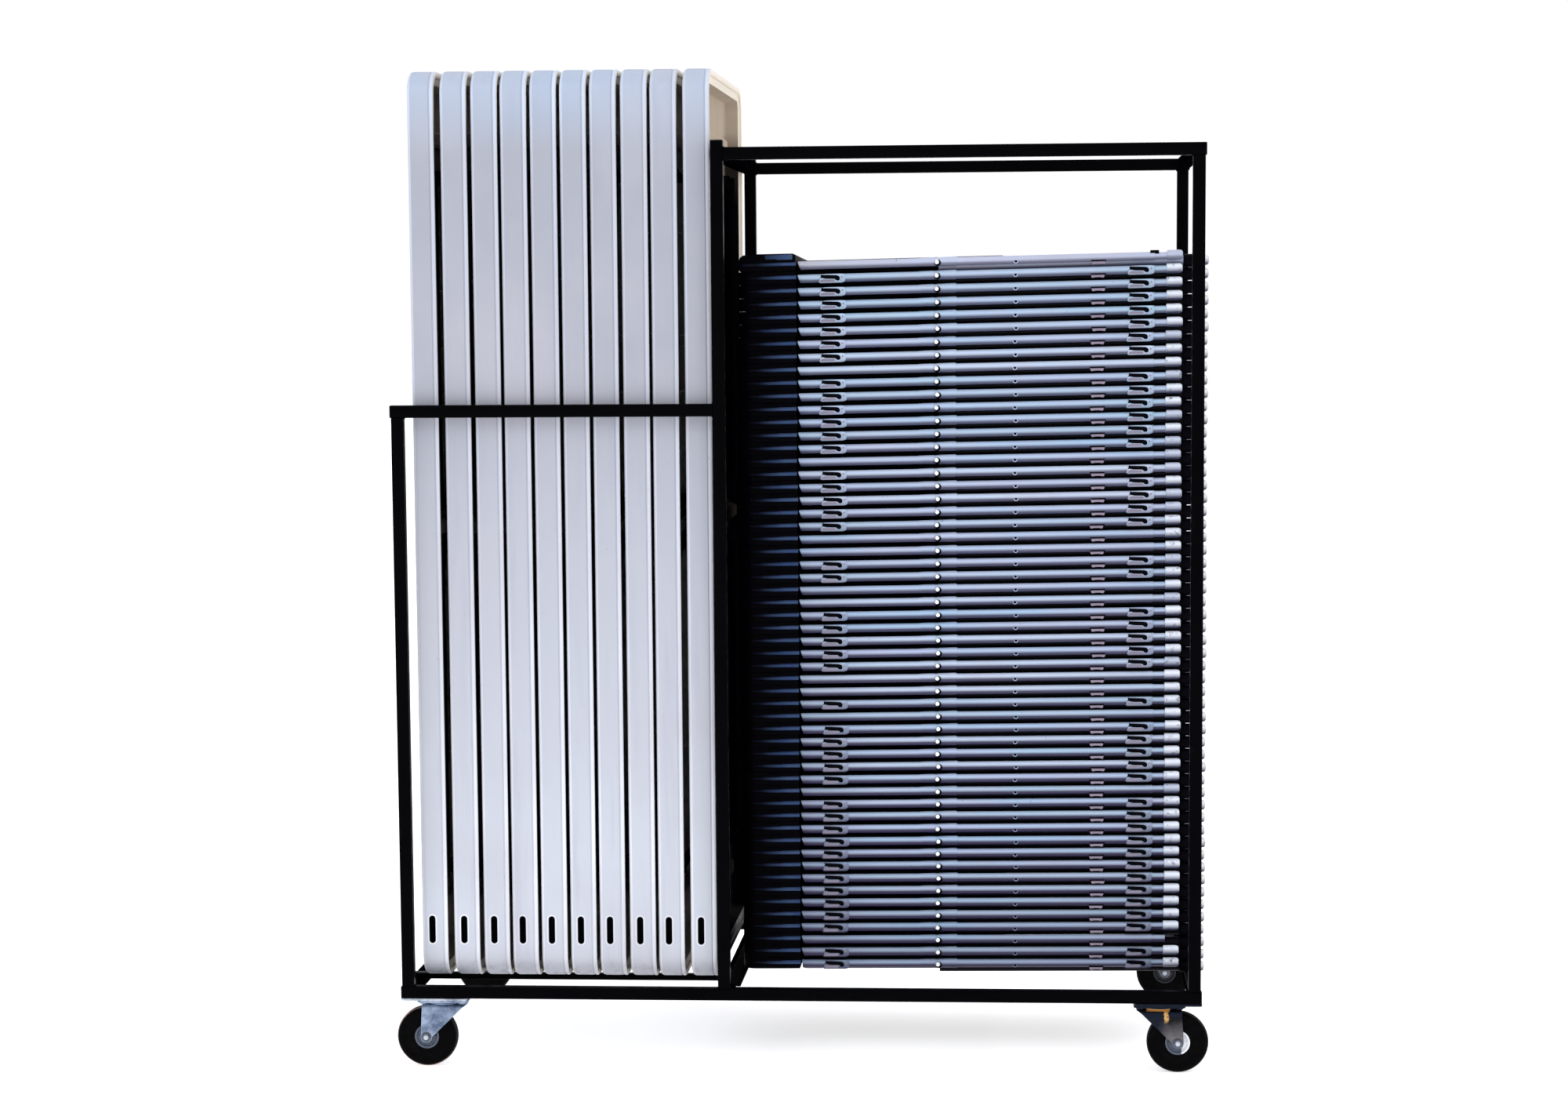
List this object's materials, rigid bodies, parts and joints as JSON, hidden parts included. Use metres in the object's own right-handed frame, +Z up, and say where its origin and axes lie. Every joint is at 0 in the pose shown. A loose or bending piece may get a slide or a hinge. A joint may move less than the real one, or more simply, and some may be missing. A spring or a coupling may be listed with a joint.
{
  "type": "table and chair trolley",
  "caption": "Black square-tube trolley on swivel castors; folding tables stand on end in one open-ended bay and folded chairs lie stacked in the other.",
  "frame": {"origin": "on the floor under the middle of the trolley, the bottom centre of its bounding box", "axes": "+Z up; +X along the trolley from the table bay to the chair bay; +Y from the front to the rear"},
  "size_m": [1.662, 0.825, 2.0243],
  "materials": {
    "frame_paint": "black gloss paint on square steel tube",
    "cap_plastic": "black moulded plastic",
    "plate_zinc": "bright zinc plate",
    "castor_zinc": "bright zinc plate, yellowed in places",
    "hub_plastic": "grey moulded plastic",
    "tyre_rubber": "black solid rubber",
    "rest_rubber": "black rubber strip",
    "table_plastic": "off-white moulded plastic, fine orange-peel grain",
    "table_leg_paint": "black powder coat",
    "chair_paint": "pale grey-blue powder coat",
    "chair_plastic": "charcoal-navy moulded plastic",
    "foot_plastic": "pale grey moulded plastic"
  },
  "bodies": {
    "frame": {"base_front_rail": "frame_paint", "base_left_crossbar": "frame_paint", "base_mid_crossbar": "frame_paint", "base_rear_rail": "frame_paint", "base_right_crossbar": "frame_paint", "castor_kingpins": "castor_zinc", "castor_mount_plates": "plate_zinc", "castor_studs": "castor_zinc", "castor_top_plates": "castor_zinc", "chair_backs": "chair_plastic", "chair_front_inner_legs": "chair_paint", "chair_front_side_tubes": "chair_paint", "chair_leg_braces": "chair_paint", "chair_rear_inner_legs": "chair_paint", "chair_rear_side_tubes": "chair_paint", "chair_rest_left": "rest_rubber", "chair_rest_right": "rest_rubber", "chair_seats": "chair_plastic", "post_front_left": "frame_paint", "post_front_mid": "frame_paint", "post_front_right": "frame_paint", "post_rear_left": "frame_paint", "post_rear_mid": "frame_paint", "post_rear_right": "frame_paint", "table_last_legs": "table_leg_paint", "table_last_top": "table_plastic", "table_rail_front": "frame_paint", "table_rail_rear": "frame_paint", "table_support_front": "frame_paint", "table_support_rear": "frame_paint", "tables_middle_legs": "table_leg_paint", "tables_middle_tops": "table_plastic", "top_crossbar_left": "frame_paint", "top_crossbar_right": "frame_paint", "top_rail_front": "frame_paint", "top_rail_rear": "frame_paint", "tube_end_caps": "cap_plastic"},
    "castor_front_left_fork_body": {"castor_front_left_fork": "castor_zinc", "castor_front_left_axle": "castor_zinc"},
    "castor_front_left_wheel_body": {"castor_front_left_hub": "hub_plastic", "castor_front_left_tyre": "tyre_rubber"},
    "castor_front_right_fork_body": {"castor_front_right_fork": "castor_zinc", "castor_front_right_axle": "castor_zinc"},
    "castor_front_right_wheel_body": {"castor_front_right_hub": "hub_plastic", "castor_front_right_tyre": "tyre_rubber"},
    "castor_rear_left_fork_body": {"castor_rear_left_fork": "castor_zinc", "castor_rear_left_axle": "castor_zinc"},
    "castor_rear_left_wheel_body": {"castor_rear_left_hub": "hub_plastic", "castor_rear_left_tyre": "tyre_rubber"},
    "castor_rear_right_fork_body": {"castor_rear_right_fork": "castor_zinc", "castor_rear_right_axle": "castor_zinc"},
    "castor_rear_right_wheel_body": {"castor_rear_right_hub": "hub_plastic", "castor_rear_right_tyre": "tyre_rubber"},
    "first_table": {"table_first_top": "table_plastic", "table_first_legs": "table_leg_paint"},
    "top_chair": {"top_chair_back": "chair_plastic", "top_chair_foot_caps": "foot_plastic", "top_chair_inner_legs": "chair_paint", "top_chair_seat": "chair_plastic", "top_chair_side_tubes": "chair_paint"}
  },
  "joints": [
    {"name": "castor_front_left_swivel", "type": "hinge", "parent": "frame", "child": "castor_front_left_fork_body", "pos_m": [-0.7315, -0.3695, 0.132], "axis": [0, 0, 1], "continuous": true},
    {"name": "castor_front_left_roll", "type": "hinge", "parent": "castor_front_left_fork_body", "child": "castor_front_left_wheel_body", "pos_m": [-0.7685, -0.3695, 0.0625], "axis": [0, 1, 0], "continuous": true},
    {"name": "castor_front_right_swivel", "type": "hinge", "parent": "frame", "child": "castor_front_right_fork_body", "pos_m": [0.7315, -0.3695, 0.132], "axis": [0, 0, 1], "continuous": true},
    {"name": "castor_front_right_roll", "type": "hinge", "parent": "castor_front_right_fork_body", "child": "castor_front_right_wheel_body", "pos_m": [0.7685, -0.3695, 0.0625], "axis": [0, 1, 0], "continuous": true},
    {"name": "castor_rear_left_swivel", "type": "hinge", "parent": "frame", "child": "castor_rear_left_fork_body", "pos_m": [-0.7315, 0.3695, 0.132], "axis": [0, 0, 1], "continuous": true},
    {"name": "castor_rear_left_roll", "type": "hinge", "parent": "castor_rear_left_fork_body", "child": "castor_rear_left_wheel_body", "pos_m": [-0.7685, 0.3695, 0.0625], "axis": [0, 1, 0], "continuous": true},
    {"name": "castor_rear_right_swivel", "type": "hinge", "parent": "frame", "child": "castor_rear_right_fork_body", "pos_m": [0.7315, 0.3695, 0.132], "axis": [0, 0, 1], "continuous": true},
    {"name": "castor_rear_right_roll", "type": "hinge", "parent": "castor_rear_right_fork_body", "child": "castor_rear_right_wheel_body", "pos_m": [0.7685, 0.3695, 0.0625], "axis": [0, 1, 0], "continuous": true},
    {"name": "first_table_slide", "type": "slide", "parent": "frame", "child": "first_table", "axis": [-1, 0, 0], "range_m": [0, 0.6]},
    {"name": "top_chair_slide", "type": "slide", "parent": "frame", "child": "top_chair", "axis": [0.9998, 0, 0.0191], "range_m": [0, 0.95]}
  ]
}
